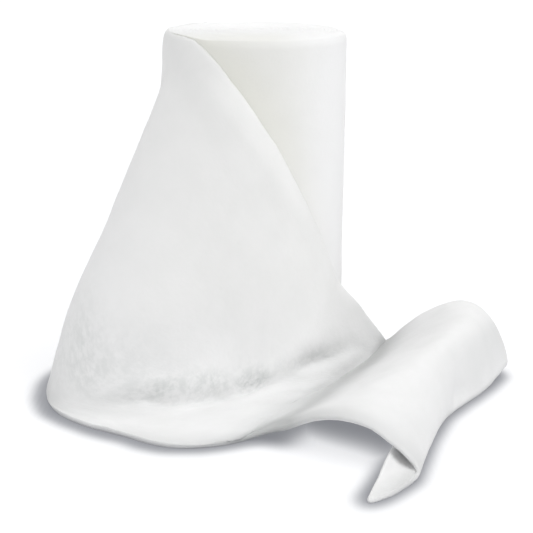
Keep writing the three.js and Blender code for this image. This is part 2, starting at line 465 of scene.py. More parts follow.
@dataclass(frozen=True)
class WaddingFinish:
    """Soft matt white nonwoven wadding: a web of fine fibres, faintly cloudy, with painted shade and
    painted light where the mesh's marks say so.
    """

    name: str = "wadding"
    white: Colour = (0.80, 0.80, 0.80)
    cloud: Colour = (0.775, 0.777, 0.775)
    deep: Colour = (0.71, 0.708, 0.655)  # painted warm shade: beside the strip's upper edge on the roll, high up, and at the front of the ends
    # painted shade in creases and the hollow at the lower left, mottled in patches
    pressed: Colour = (0.60, 0.614, 0.608)
    shaded: Colour = (0.46, 0.468, 0.466)  # painted shade in valleys and under rims
    fluffy: Colour = (0.85, 0.85, 0.85)  # painted light: paler ends, the right of the roll's side, and the strip high up at the left
    clouds: Noise = Noise(70.0, 4.0, 0.6)
    tufts: Noise = Noise(420.0, 3.0, 0.6)
    blotches: Noise = Noise(190.0, 3.0, 0.6)
    bends: Noise = Noise(260.0, 1.0)
    fibres: Noise = Noise(1.0, 1.0)
    cloud_range: tuple[float, float] = (0.35, 0.7)  # of the noise, from white to cloud
    blotch_range: tuple[float, float] = (0.4, 0.6)  # of the noise, from least_mottled_shade to 1
    blotch_share: float = 0.6  # of the noise of the painted shade's patches; the tufts give the rest
    least_mottled_shade: float = 0.25  # share of the mottled painted shade that is left between the blotches
    tuft_height: float = 0.07  # millimetres, as are the next two
    cloud_height: float = 0.10
    fibre_height: float = 0.03
    fibre_turns: tuple[float, ...] = (8.0, 52.0, 97.0, 141.0)  # degrees
    fibre_scale: tuple[float, float, float] = (350.0, 4200.0, 1.0)  # along and across the fibres
    fibre_bend: float = 1.2  # millimetres
    roughness: float = 0.95
    ior: float = 1.3
    specular: float = 0.2
    sheen: float = 0.12
    sheen_roughness: float = 0.5
    depth_of_light: float = 0.10  # share of the light that spreads inside the wadding
    light_spread: float = 1.5  # millimetres

    def make(self) -> bpy.types.Material:
        """The material, whose patterns follow the strip's own UV map in metres."""
        material = bpy.data.materials.new(self.name)
        tree = Tree(material)
        place = tree.node("ShaderNodeUVMap", {}, uv_map="strip").outputs["UV"]
        clouds = self.clouds.add(tree, place)
        tufts = self.tufts.add(tree, place)
        blotches = self.blotches.add(tree, place)
        fibres = self._fibres(tree, place)

        colour = tree.mix(tree.stretched(clouds, self.cloud_range, (0.0, 1.0)), self.white, self.cloud)
        # painted warm shade
        colour = tree.mix(tree.mark("deep"), colour, self.deep)
        # painted shade in creases, broken up into mottled patches
        tuft_part = tree.math("MULTIPLY", tufts, 1.0 - self.blotch_share)
        patches = tree.math("MULTIPLY_ADD", blotches, self.blotch_share, tuft_part)
        mottle = tree.stretched(patches, self.blotch_range, (self.least_mottled_shade, 1.0))
        colour = tree.mix(tree.math("MULTIPLY", tree.mark("pressed"), mottle), colour, self.pressed)
        # painted shade, even
        colour = tree.mix(tree.mark("shaded"), colour, self.shaded)
        # painted light
        colour = tree.mix(tree.mark("fluffy"), colour, self.fluffy)

        height = tree.math("MULTIPLY", clouds, self.cloud_height * MM)
        height = tree.math("MULTIPLY_ADD", tufts, self.tuft_height * MM, height)
        height = tree.math("MULTIPLY_ADD", fibres, self.fibre_height * MM, height)
        bump = tree.node("ShaderNodeBump", {"Height": height, "Distance": 1.0, "Strength": 1.0}).outputs[0]
        tree.finish(
            {
                "Base Color": colour,
                "Roughness": self.roughness,
                "IOR": self.ior,
                "Specular IOR Level": self.specular,
                "Sheen Weight": self.sheen,
                "Sheen Roughness": self.sheen_roughness,
                "Subsurface Weight": self.depth_of_light,
                "Subsurface Radius": (1.0, 1.0, 1.0),
                "Subsurface Scale": self.light_spread * MM,
                "Normal": bump,
            }
        )
        return material

    def _fibres(self, tree: Tree, place: Socket) -> Socket:
        """Fine crossing fibres from 0 to 1: noise drawn out along several directions, the highest of them.

        Args:
            tree: the material's tree.
            place: the strip's UV coordinates in metres.
        Returns:
            The socket that holds the pattern.
        """
        bend = self.bends.add(tree, place, "Color")
        values = {0: bend, 1: (self.fibre_bend * MM, self.fibre_bend * MM, 0.0), 2: place}
        bent = tree.node("ShaderNodeVectorMath", values, operation="MULTIPLY_ADD").outputs[0]
        highest: float | Socket = 0.0
        for turn in self.fibre_turns:
            rotation = (0.0, 0.0, math.radians(turn))
            values = {"Vector": bent, "Rotation": rotation, "Scale": self.fibre_scale}
            drawn = tree.node("ShaderNodeMapping", values).outputs[0]
            highest = tree.math("MAXIMUM", self.fibres.add(tree, drawn), highest)
        return highest


@dataclass(frozen=True)
class TableFinish:
    """Plain white matt table, lit from above and from below, with a painted shadow where the mark
    "covered" says so.
    """

    name: str = "table"
    white: Colour = (0.35, 0.35, 0.35)
    glow: Colour = (0.66, 0.665, 0.68)  # light that comes through the table
    dark: Colour = (0.31, 0.315, 0.335)  # share of both that is left under the painted shadow

    def make(self) -> bpy.types.Material:
        """The material."""
        material = bpy.data.materials.new(self.name)
        tree = Tree(material)
        # painted shadow
        covered = tree.mark("covered")

        def darkened(colour: Colour) -> Socket:
            """The colour, with less of it under the painted shadow where the table is covered."""
            left = tuple(share * part for share, part in zip(self.dark, colour))
            return tree.mix(covered, colour, left)

        tree.finish(
            {
                "Base Color": darkened(self.white),
                "Roughness": 1.0,
                "Specular IOR Level": 0.0,
                "Emission Color": darkened(self.glow),
                "Emission Strength": 1.0,
            }
        )
        return material


@dataclass
class ClothPiece:
    """A piece of the strip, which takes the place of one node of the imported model."""

    name: str
    node: str

    def surface(self) -> Surface:
        """The piece's closed surface."""
        raise NotImplementedError

    def build(self, finish: bpy.types.Material) -> bpy.types.Object:
        """Makes the piece with its finish, hangs it under the root body and hides the imported node that
        it takes the place of.
        """
        piece = to_object(self.name, self.surface(), finish)
        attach(piece, "root")
        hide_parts(self.node)
        return piece


@dataclass
class LooseEnd(ClothPiece):
    """The loose end of the strip: one thickness of wadding on the smooth surface of SECTIONS.

    Lengths are millimetres.
    """

    name: str = "loose_end_cloth"
    node: str = "loose_end"
    rows: int = 286
    columns: int = 126
    tucked: float = 3.0  # length that reaches into the roll at the step
    tuck_slope: float = 0.08  # how steeply it sinks in
    tuck_edge: float = 0.5  # over which it thins out
    edge_rounding: float = 1.5  # over which the strip thins towards its edges
    edge_crowd: tuple[float, ...] = (0.0, 0.06, 0.2, 0.45, 0.8)  # shares of that at which lines lie
    tip_rounding: float = 4.5  # radius of the drawn-out corner
    tip_draw: float = 3.5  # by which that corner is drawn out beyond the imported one
    tip_reach: tuple[float, float] = (12.0, 10.0)  # along the strip and across it, how much follows
    rag: float = 0.35  # by which the edges wander
    rag_reach: float = 6.0  # from an edge, over which the surface wanders with it
    edge_rag: tuple[Lumps, ...] = (Lumps(9.0, 3), Lumps(3.1, 4, 0.5))
    cut_rag: tuple[Lumps, ...] = (Lumps(8.0, 5), Lumps(2.7, 6, 0.5))
    edge_place: float = 40.0  # where on the lattice the edges' lumps are read, on either side of 0
    cut_place: float = 70.0  # the same for the cut end
    uneven: tuple[Lumps, ...] = (Lumps(31.0, 11, 0.30), Lumps(12.0, 12, 0.10), Lumps(4.0, 13, 0.03))
    uneven_thickness: Lumps = Lumps(7.0, 14, 0.12)
    full_depth: float = 6.0  # above the laid strip, from which troughs are at full depth
    above_table: float = 0.02  # between the strip and the table
    rim_drop: float = 1.8  # by which both edges are drawn in where the strip leaves the roll
    rim_start: Ramp = Ramp(0.0, 15.0)  # along the strip, where that ends
    rim_reach: float = 8.0  # from an edge, over which it is drawn in
    top_drop: float = 0.4  # by which the upper edge is drawn in everywhere
    hug: float = 9.0  # from the upper edge, over which the strip lies down on the roll
    hug_start: Ramp = Ramp(12.0, 40.0)  # along the strip
    hug_end: Ramp = Ramp(192.0, 210.0)
    hug_thinning: float = 3.5  # by which edge_rounding grows there
    deep: float = 0.15  # most painted warm shade, which is so high up and away from the left
    warm_shade_height: Ramp = Ramp(15.0, 60.0)
    warm_shade_right: Ramp = Ramp(-70.0, -35.0)
    fluffy: float = 0.3  # most painted light, high up at the left
    painted_light_height: Ramp = Ramp(25.0, 60.0)
    painted_light_left: Ramp = Ramp(-45.0, -15.0)
    creases: tuple[Crease, ...] = (
        # where the wall above is pressed down on the foot, with painted shade in the fold
        Crease(
            ((138, 31, 0.0), (144, 33, 0.5), (150, 40, 1.0), (162, 43.5, 1.0), (171.5, 56, 1.0),
             (178, 66, 0.9), (181.5, 71, 0.4), (184.5, 75, 0.9), (188, 79.5, 1.0), (191.5, 82.5, 0.8),
             (194.5, 86, 0.3), (197, 96, 0.3), (198.5, 101, 0.8), (201, 106, 1.0), (203.5, 110.5, 0.8),
             (206, 114.5, 0.5), (213.6, 124, 0.35), (222, 133, 0.2)),
            left=8.0, right=4.5, height=-2.2, shade_in_patches=0.36,
        ),
        # painted shade in mottled patches above it
        Crease(
            ((146, 43, 0.3), (150, 49, 1.0), (157, 56, 0.9), (163, 63, 1.1), (168, 69, 1.1),
             (172, 74, 0.2)),
            left=5.5, right=5.0, shade_in_patches=0.7,
        ),
        Crease(
            ((174, 75, 0.3), (178, 79.5, 1.0), (185, 86, 1.0), (189, 91, 0.3)),
            left=7.5, right=4.0, shade_in_patches=0.95,
        ),
        Crease(((192, 100, 0.4), (199, 111, 1.0), (206, 118, 0.6)), left=5.0, right=4.0, shade_in_patches=0.35),
        # the soft bulge that hangs over it
        Crease(
            ((132, 34, 0.3), (143, 45, 0.8), (154, 50, 1.0), (164, 62, 1.0), (171, 73, 1.0),
             (181, 86, 0.9), (187, 91, 0.8), (190, 104, 0.6), (194, 113, 0.8), (199, 120, 0.6),
             (207, 131, 0.3)),
            left=8.0, right=6.5, height=1.7,
        ),
        # hollow at the lower left, with painted shade
        Crease(((112, 24, 0.5), (122, 38, 1.0), (134, 46, 0.6)), left=17.0, right=15.0, height=-0.9,
               shade_in_patches=0.65),
        # shallow bottom of the valley
        Crease(
            ((231, 20, 0.2), (232, 40, 0.8), (233, 60, 1.0), (234, 90, 1.0), (234, 120, 0.8),
             (233, 143, 0.3)),
            left=9.0, right=9.0, height=1.8,
        ),
        # painted shade on the slope beside it, where little light reaches
        Crease(
            ((240, 0, 0.9), (241, 10, 0.8), (244, 24, 0.8), (243, 36, 0.8), (240, 50, 0.8),
             (239, 64, 0.8), (241, 76, 0.8), (244, 88, 0.9), (246, 100, 1.0), (245, 112, 1.0),
             (243, 129, 0.9), (240, 148, 0.8)),
            left=13.0, right=11.0, height=-0.3, shade=0.85,
        ),
        # painted shade on the rim, which the next crease turns down and away from the light
        Crease(
            ((95, 0, 0.2), (125, 0, 0.4), (160, 0, 0.3), (185, 0, 0.5), (205, 0, 0.7), (225, 0, 1.0),
             (262, 0, 1.0), (285, 0, 0.7), (305, 0, 0.3)),
            left=9.0, right=9.0, shade=0.6,
        ),
        Crease(
            ((205, 0, 0.2), (220, 0, 0.8), (240, 0, 1.0), (262, 0, 0.9), (290, 0, 0.5), (305, 0, 0.2)),
            left=5.5, right=5.5, height=-1.4,
        ),
        # and swells a little behind
        Crease(((196, 12, 0.3), (208, 12, 1.0), (220, 12, 1.0), (232, 12, 0.3)), left=16.0, right=9.0,
               height=1.2),
        # painted shade on the half tube's outer side, and inside its curl
        Crease(((294, 40, 0.1), (299, 80, 0.6), (303, 115, 1.0), (304, 149, 1.6)), left=8.0, right=14.0,
               shade=0.25),
        Crease(((323, 0, 0.0), (323, 25, 0.1), (323, 60, 0.8), (325, 148, 0.6)), left=4.0, right=9.0,
               shade=0.6),
        # painted shade: the foot is darker at its left and where it sinks towards the valley
        Crease(((118, 4, 0.3), (134, 12, 0.8), (145, 22, 0.8), (158, 28, 0.45), (172, 32, 0.1)),
               left=12.0, right=14.0, shade=0.34),
        Crease(
            ((226, 0, 1.0), (222, 20, 1.0), (221, 41, 1.0), (216, 62, 0.8), (212, 83, 0.6),
             (209, 96, 0.2)),
            left=10.0, right=16.0, shade=0.36,
        ),
        # painted shade along the upper edge at the roll's upper left
        Crease(((68, 146, 0.6), (84, 143, 1.0), (95, 141, 0.9), (103, 136, 0.2)), left=12.0, right=6.0,
               shade=0.18),
        # painted shade where the outer wall and the drawn-out corner turn away from the light
        Crease(((301, 0, 0.8), (306, 22, 1.0), (309, 40, 0.5)), left=11.0, right=14.0, shade=0.15),
        Crease(((318, 2, 0.7), (327, 2, 1.0), (335, 2, 0.6), (341, 2, 0.2)), left=11.0, right=9.0,
               shade=0.5),
        # small dent in the curled wall
        Crease(((313, 85, 1.0), (316, 97, 1.0), (319, 105, 0.7)), left=6.0, right=5.0, height=-1.5),
    )

    def middle(self, u: np.ndarray, v: np.ndarray) -> np.ndarray:
        """The middle surface in millimetres: smooth along each column, then smooth across.

        Args:
            u, v: distances along the strip and across it, from the rim on the table.
        Returns:
            Array of the shape of u, with a last axis of length 3.
        """
        places = np.array([section.places() for section in SECTIONS], float)
        along = curve_weights([section.along for section in SECTIONS], u)
        across = curve_weights(ACROSS, v / STRIP.width)
        return np.einsum("...i,...j,ijk->...k", along, across, places, optimize=True)

    @staticmethod
    def normals(points: np.ndarray) -> np.ndarray:
        """Unit normals of a grid: the cross product of its steps along and across."""
        normal = np.cross(np.gradient(points, axis=0), np.gradient(points, axis=1))
        return normal / np.maximum(np.linalg.norm(normal, axis=-1, keepdims=True), 1e-9)

    @staticmethod
    def gap_to_roll(points: np.ndarray) -> np.ndarray:
        """How far points lie from the roll's side, in millimetres."""
        return np.hypot(points[..., 0], points[..., 1]) - STRIP.radius_at(azimuth_of(points))

    def with_gap(self, points: np.ndarray, gap: np.ndarray) -> np.ndarray:
        """Moves points straight out from the roll's axis or in, to lie at a gap from its side."""
        reach = np.hypot(points[..., 0], points[..., 1])
        scale = 1 + (gap - self.gap_to_roll(points)) / reach
        return points * np.stack([scale, scale, np.ones_like(scale)], -1)

    def sample_lines(self) -> tuple[np.ndarray, np.ndarray]:
        """Distances along and across at which the surface is made, crowded towards the edges."""
        crowd = np.array(self.edge_crowd) * self.edge_rounding
        length, width = STRIP.flat_length, STRIP.width
        even = np.linspace(-self.tucked, length - self.edge_rounding, self.rows - len(crowd))
        along = np.concatenate([even, length - crowd[::-1]])
        even = np.linspace(self.edge_rounding, width - self.edge_rounding, self.columns - 2 * len(crowd))
        across = np.concatenate([crowd, even, width - crowd[::-1]])
        return along, across

    def round_tip(self, u: np.ndarray, v: np.ndarray) -> tuple[np.ndarray, np.ndarray]:
        """Rounds the drawn-out corner of the cut end.

        In the corner's square (a, b), from 0 inside to 1 at the edges, a point goes to
        (a * sqrt(1 - b^2 / 2), b * sqrt(1 - a^2 / 2)), which makes the square a quarter of a disc.

        Args:
            u, v: distances along the strip and across it.
        Returns:
            The moved distances.
        """
        radius = self.tip_rounding
        a = np.clip((u - STRIP.flat_length) / radius + 1, 0, 1)
        b = np.clip(1 - v / radius, 0, 1)
        along = u + radius * a * (np.sqrt(1 - b * b / 2) - 1)
        return along, v - radius * b * (np.sqrt(1 - a * a / 2) - 1)

    def outline(self, u: np.ndarray, v: np.ndarray) -> tuple[np.ndarray, np.ndarray]:
        """The strip's own outline: a drawn-out, rounded corner, and edges that wander a little.

        Args:
            u, v: distances along the strip and across it.
        Returns:
            The moved distances.
        """
        width, length = STRIP.width, STRIP.flat_length
        side = np.where(v > width / 2, 1.0, -1.0)
        ragged = sum(lumps.at(u, side * self.edge_place) for lumps in self.edge_rag)
        cut = sum(lumps.at(v, np.full_like(v, self.cut_place)) for lumps in self.cut_rag)
        beside = np.exp(-np.minimum(v, width - v) / self.rag_reach)
        drawn = self.tip_draw * bell(length - u, self.tip_reach[0]) * np.exp(-v / self.tip_reach[1])
        u, v = self.round_tip(u, v)
        v = v - drawn
        near_cut = np.exp(-(length - u) / self.rag_reach)
        return u + self.rag * cut * near_cut, v + self.rag * side * ragged * beside

    def half_thickness(self, u: np.ndarray, v: np.ndarray, hugging: np.ndarray) -> np.ndarray:
        """Half the strip's thickness: at a distance d from an edge it falls as sqrt(1 - (1 - d / r)^2).

        Args:
            u, v: distances along the strip and across it.
            hugging: how closely the strip lies on the roll; its edge is pressed thinner there.
        Returns:
            The half thickness in millimetres.
        """
        upper = self.edge_rounding + self.hug_thinning * np.clip(2 * hugging, 0, 1)
        thin = np.clip(np.minimum(v / self.edge_rounding, (STRIP.width - v) / upper), 0, 1)
        thin_end = np.clip((STRIP.flat_length - u) / self.edge_rounding, 0, 1)
        thin = np.sqrt(1 - (1 - thin) ** 2) * np.sqrt(1 - (1 - thin_end) ** 2)
        thin *= np.clip((u + self.tucked) / self.tuck_edge, 0, 1)
        return STRIP.thickness / 2 * thin * (1.0 + self.uneven_thickness.at(u, v))

    def creased(self, u: np.ndarray, v: np.ndarray) -> tuple[np.ndarray, dict[str, np.ndarray]]:
        """The middle surface, moved along its normal by the creases and a gentle unevenness.

        Args:
            u, v: distances along the strip and across it.
        Returns:
            The surface in millimetres, and how much mottled and how much even painted shade it gets.
        """
        points = self.middle(*self.outline(u, v))
        move = sum(lumps.at(u, v) for lumps in self.uneven)
        pressed, shaded = np.zeros_like(u), np.zeros_like(u)
        for crease in self.creases:
            weight = crease.weight(u, v)
            move += crease.height * weight
            pressed += crease.shade_in_patches * weight
            shaded += crease.shade * weight
        above = np.clip((points[..., 2] - STRIP.thickness) / self.full_depth, 0.0, 1.0)
        move *= np.where(move < 0, above, 1.0)  # nothing sinks into the table
        return points + self.normals(points) * move[..., None], {"pressed": pressed, "shaded": shaded}

    def surface(self) -> Surface:
        """Both faces of the strip, joined at its edges.

        The faces lie half the thickness off the creased middle surface. Near its upper edge the strip
        lies down on the roll, and its first rows are tucked into the roll.
        """
        along, across = self.sample_lines()
        u, v = np.meshgrid(along, across, indexing="ij")
        points, marks = self.creased(u, v)
        hugging = Ramp(STRIP.width - self.hug, STRIP.width).up(v)
        hugging = hugging * self.hug_start.up(u) * self.hug_end.down(u)
        half = self.half_thickness(u, v, hugging)
        points = self.off_roll(points, u, half, hugging)
        tucked = int((along < 0).sum())
        points[:tucked] = self._tucked(u[:tucked], v[:tucked])
        rim = self.rim_drop * self.rim_start.down(u)
        at_rim = Ramp(0.0, self.rim_reach).down(v)
        at_top = Ramp(STRIP.width - self.rim_reach, STRIP.width).up(v)
        points[..., 2] += rim * at_rim - (rim + self.top_drop) * at_top
        normal = self.normals(points)
        normal[: tucked + 1] = normal[tucked + 1]
        offset = normal * half[..., None]
        points[..., 2] += np.maximum(0.0, np.abs(offset[..., 2]) - points[..., 2] + self.above_table)
        x, z = points[..., 0], points[..., 2]
        # painted warm shade high up towards the right
        marks["deep"] = self.deep * self.warm_shade_height.up(z) * self.warm_shade_right.up(x)
        # painted light high up at the left
        marks["fluffy"] = self.fluffy * self.painted_light_height.up(z) * self.painted_light_left.down(x)
        return self._closed(points + offset, points - offset, np.stack([u, v], -1) * MM, marks)

    def off_roll(
        self, points: np.ndarray, u: np.ndarray, half: np.ndarray, hugging: np.ndarray
    ) -> np.ndarray:
        """Keeps the strip off the roll, and lays its upper edge down on it.

        Args:
            points: the middle surface in millimetres.
            u: distances along the strip.
            half: half the thickness.
            hugging: how closely the strip lies on the roll, from 0 to 1.
        Returns:
            The moved points.
        """
        gap = self.gap_to_roll(points)
        near = STRIP.clearance + half
        gap = gap * (1 - hugging) + np.minimum(gap, near) * hugging
        least = np.where(hugging > 0, near, STRIP.clearance + STRIP.thickness / 2)
        return np.where((u > 0)[..., None], self.with_gap(points, np.maximum(gap, least)), points)

    def _tucked(self, u: np.ndarray, v: np.ndarray) -> np.ndarray:
        """The tucked rows: they follow the roll backwards, a little below its surface."""
        radius = STRIP.roll_radius - STRIP.thickness / 2 + self.tuck_slope * u
        angle = math.radians(STRIP.step_azimuth) + u / STRIP.roll_radius
        return round_axis(radius, angle, v)

    @staticmethod
    def _closed(
        outer: np.ndarray, inner: np.ndarray, uv: np.ndarray, marks: dict[str, np.ndarray]
    ) -> Surface:
        """One closed surface of the outer and the inner face, which meet at the edges.

        Args:
            outer, inner: grids of points in millimetres.
            uv: the grid's coordinates on the strip in metres.
            marks: a grid of numbers for each mark.
        Returns:
            The surface.
        """
        flat_marks = {name: values.ravel() for name, values in marks.items()}
        parts = []
        for face, flip in ((outer, False), (inner, True)):
            quads = with_split_corners(grid_quads(*uv.shape[:2], flip), *uv.shape[:2], flip)
            parts.append(Surface(face.reshape(-1, 3) * MM, quads, uv.reshape(-1, 2)[quads], flat_marks))
        return joined(parts)


EDGE = np.array([section.top for section in SECTIONS[1:11]])  # the strip's upper edge, on the roll


@dataclass
class WoundRoll(ClothPiece):
    """The wound form of all the turns, with the spiral of their edges on both ends.

    Lengths are millimetres. A share is of a turn round from the step, unless it says otherwise.
    """

    name: str = "wound_roll_cloth"
    node: str = "wound_roll"
    turns: int = 21
    rings_per_turn: int = 6
    around: int = 240
    wall_rows: int = 110
    row_crowd: float = 0.13  # how much the wall's rows are crowded towards both rims
    core: float = 1.4  # radius at which the innermost turn starts
    rim_reach: float = 4.5  # from the rim, over which an end falls towards it
    rim_drop: float = 1.3  # how far it falls there
    rim_side: float = 3.5  # from the rim, over which the side is drawn in towards it
    rim_inset: float = 0.9  # how far it is drawn in there
    groove: float = 0.2  # depth between the edges of two turns
    groove_start: float = 1.6  # inside the rim, from which grooves are full
    turn_waves: tuple[Place, ...] = ((0.07, 2.1, 1.0), (0.05, 5.3, 2.0))  # depth, radians a turn, shift
    end_lumps: Lumps = Lumps(14.0, 20)  # its seed counts up by one for the upper end, two for the lower
    end_unevenness: float = 0.15
    lumps_place: float = 50.0  # where on the lattice the ends' centre lies
    calm_rim: float = 4.0  # inside the rim, over which an end's unevenness starts
    dome: float = 0.4  # by which an end falls from its centre to the rim
    dimple: float = 0.7  # depth at the centre
    dimple_radius: float = 2.6
    centre_shift: float = 0.5  # from the axis to the point that closes the centre
    step_fade: Ramp = Ramp(0.0, 0.05)  # shares over which the step's effect goes
    covered_start: Ramp = Ramp(0.0, 0.06)  # shares where the strip comes to cover the rim
    covered_end: Ramp = Ramp(0.28, 0.38)  # and where it leaves the rim bare
    covered_less: float = 0.75  # part by which the covered rim is less rounded
    covered_edge: float = 2.0  # inside the rim, over which an end swells where it is covered
    swell: float = 1.1 * STRIP.clearance  # by which the roll swells to meet the strip
    swell_reach: float = 4.0  # from the strip's upper edge, over which it does
    swell_start: Ramp = Ramp(0.06, 0.15)  # shares
    calm_side: float = 8.0  # from a rim, over which the side's unevenness starts
    side_lumps: tuple[tuple[float, Lumps], ...] = ((0.20, Lumps(22.0, 31)), (0.08, Lumps(7.0, 32)))
    side_round: float = 230.0  # length that a turn counts for them
    fuller: float = 0.7  # by which the side stands out most
    fuller_azimuth: float = -10.0  # degrees
    fuller_from: float = 60.0  # height where it starts; it is full as much higher again
    painted_light_reach: float = 3.0  # below the upper rim, over which the side gets as much painted light as the rim
    pale_front: Ramp = Ramp(-14.0, 12.0)  # towards the viewer, where the painted light on the ends stops
    pale_right: Ramp = Ramp(5.0, 34.0)  # towards the right, where it comes back
    pale_right_share: float = 0.9
    end_warm_shade: float = 0.5  # painted warm shade on an end, at its front
    end_warm_shade_front: Ramp = Ramp(5.0, 36.0)
    end_warm_shade_right: Ramp = Ramp(0.0, 36.0)
    side_pale: float = 0.85  # painted light on the side at its right
    side_pale_right: Ramp = Ramp(14.0, 36.0)
    side_warm_shade: tuple[float, float] = (0.18, 0.22)  # painted warm shade on the side, and more above
    side_warm_shade_height: Ramp = Ramp(95.0, 135.0)
    side_warm_shade_right: Ramp = Ramp(5.0, 38.0)
    shade_reach: float = 12.0  # from the strip's upper edge, over which the painted shadow on the roll reaches
    shade_along: tuple[float, ...] = (0.0, 0.1, 0.4, 0.8, 0.9, 0.7, 0.4, 0.2, 0.1, 0.0)  # strength of that painted shadow at the places of EDGE

    def radius_of(self, phase: np.ndarray) -> np.ndarray:
        """Radius of the spiral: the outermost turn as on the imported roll, the rest even.

        Args:
            phase: turns from the centre, 0 to self.turns.
        Returns:
            The radius in millimetres.
        """
        outer = STRIP.thickness + STRIP.clearance
        inner = (STRIP.roll_radius - outer - self.core) / (self.turns - 1)
        left = self.turns - phase
        return STRIP.roll_radius - outer * np.minimum(left, 1.0) - inner * np.maximum(left - 1.0, 0.0)

    @staticmethod
    def angle_at(share: np.ndarray) -> np.ndarray:
        """Angle in radians from +X, a share of a turn round from the step."""
        return math.radians(STRIP.step_azimuth) + 2 * np.pi * share

    def inside(self, radius: np.ndarray, share: np.ndarray) -> np.ndarray:
        """How far a place of an end lies inside the outermost turn, in millimetres.

        At the step it counts from the outer end of that turn, before and behind it, so that both meet.

        Args:
            radius: distance from the axis.
            share: how far round from the step, 0 to 1.
        Returns:
            The distances.
        """
        over = (STRIP.thickness + STRIP.clearance) * self.step_fade.down(share)
        return self.radius_of(self.turns - 1 + share) + over - radius

    def covered(self, share: np.ndarray) -> np.ndarray:
        """1 where the strip covers the rim, 0 where it is bare."""
        return self.covered_start.up(share) * self.covered_end.down(share)

    def rim_amount(self, radius: np.ndarray, share: np.ndarray) -> np.ndarray:
        """1 at the rim, falling evenly to 0 inside it, and less where the strip covers the rim."""
        amount = np.clip(1 - self.inside(radius, share) / self.rim_reach, 0, 1)
        return (1 - self.covered_less * self.covered(share)) * amount

    def paleness(self, places: np.ndarray) -> np.ndarray:
        """How much painted light the ends get: 1 at the back and right, 0 at the front and left."""
        right = self.pale_right_share * self.pale_right.up(places[..., 0])
        return np.maximum(self.pale_front.down(-places[..., 1]), right)

    def end_depth(self, ring: np.ndarray, share: np.ndarray, seed: int) -> np.ndarray:
        """How far the end face lies below its full height, in millimetres.

        A narrow groove between two turns, |2t - 1|^4 of its depth at t of the way through a turn; each
        turn a little higher or lower than its neighbours; a flat dome; the quadratic rounding of the
        rim; and a dimple at the centre.

        Args:
            ring: number of the ring, which follows the spiral.
            share: how far round from the step, 0 to 1.
            seed: which unevenness.
        Returns:
            The depths.
        """
        phase = ring / self.rings_per_turn + share
        radius = self.radius_of(phase)
        inside = self.inside(radius, share)
        within = np.mod(ring / self.rings_per_turn, 1.0)
        groove = self.groove * np.abs(2 * within - 1) ** 4 * np.clip(inside / self.groove_start, 0, 1)
        turn = sum(
            depth * (1 + np.sin(pace * phase + shift * seed)) for depth, pace, shift in self.turn_waves
        )
        angle = 2 * np.pi * share
        lumps = Lumps(self.end_lumps.size, self.end_lumps.seed + seed)
        x, y = radius * np.cos(angle) + self.lumps_place, radius * np.sin(angle) + self.lumps_place
        broad = self.end_unevenness * (1 + lumps.at(x, y))
        calm = np.clip(inside / self.calm_rim, 0, 1)
        dome = self.dome * (radius / STRIP.roll_radius) ** 2
        rounding = self.rim_drop * self.rim_amount(radius, share) ** 2
        dimple = self.dimple * bell(radius, self.dimple_radius)
        return groove + (turn + broad) * calm + dome + rounding + dimple

    def end_face(self, top: bool) -> tuple[np.ndarray, Surface]:
        """The upper or lower end: rings that follow the spiral, and a fan that closes the centre.

        Args:
            top: whether it is the upper end.
        Returns:
            The grid of its places in millimetres, and the surface.
        """
        rings = self.rings_per_turn * (self.turns - 1) + 1
        ring, column = np.meshgrid(np.arange(rings), np.arange(self.around + 1), indexing="ij")
        share = column / self.around
        radius = self.radius_of(ring / self.rings_per_turn + share)
        depth = self.end_depth(ring, share, 1 if top else 2)
        height = STRIP.width - depth if top else depth
        outermost = np.clip(1 - self.inside(radius, share) / self.covered_edge, 0, 1)
        radius = radius - self.rim_inset * self.rim_amount(radius, share) * (1 - self.covered(share))
        radius = radius + self.swell * self.covered(share) * outermost
        places = round_axis(radius, self.angle_at(share), height)
        quads = grid_quads(rings, self.around + 1, flip=not top)
        flat = places.reshape(-1, 3)
        # painted warm shade at the front of the end
        deep = self.end_warm_shade * self.end_warm_shade_front.up(-flat[:, 1]) * self.end_warm_shade_right.down(flat[:, 0])
        # painted light on the ends, except at the front and left
        marks = {"fluffy": self.paleness(flat), "deep": deep}
        face = Surface(flat * MM, quads, (flat[:, :2] * MM)[quads], marks)
        number = np.arange(rings * (self.around + 1)).reshape(rings, self.around + 1)
        hole = np.concatenate([number[0], number[1 : self.rings_per_turn, 0][::-1], number[0, :1]])
        aside = math.radians(STRIP.step_azimuth - 90)
        shift = [self.centre_shift * math.cos(aside), self.centre_shift * math.sin(aside)]
        points = np.vstack([flat, [*shift, height[0].mean()]])
        start, end = (hole[:-1], hole[1:]) if top else (hole[1:], hole[:-1])
        fan = np.stack([np.full(len(start), len(flat)), start, end, end], -1)
        # painted light over the whole centre
        cap = Surface(points * MM, fan, (points[:, :2] * MM)[fan], {"fluffy": np.ones(len(points))})
        return places, joined([face, cap])

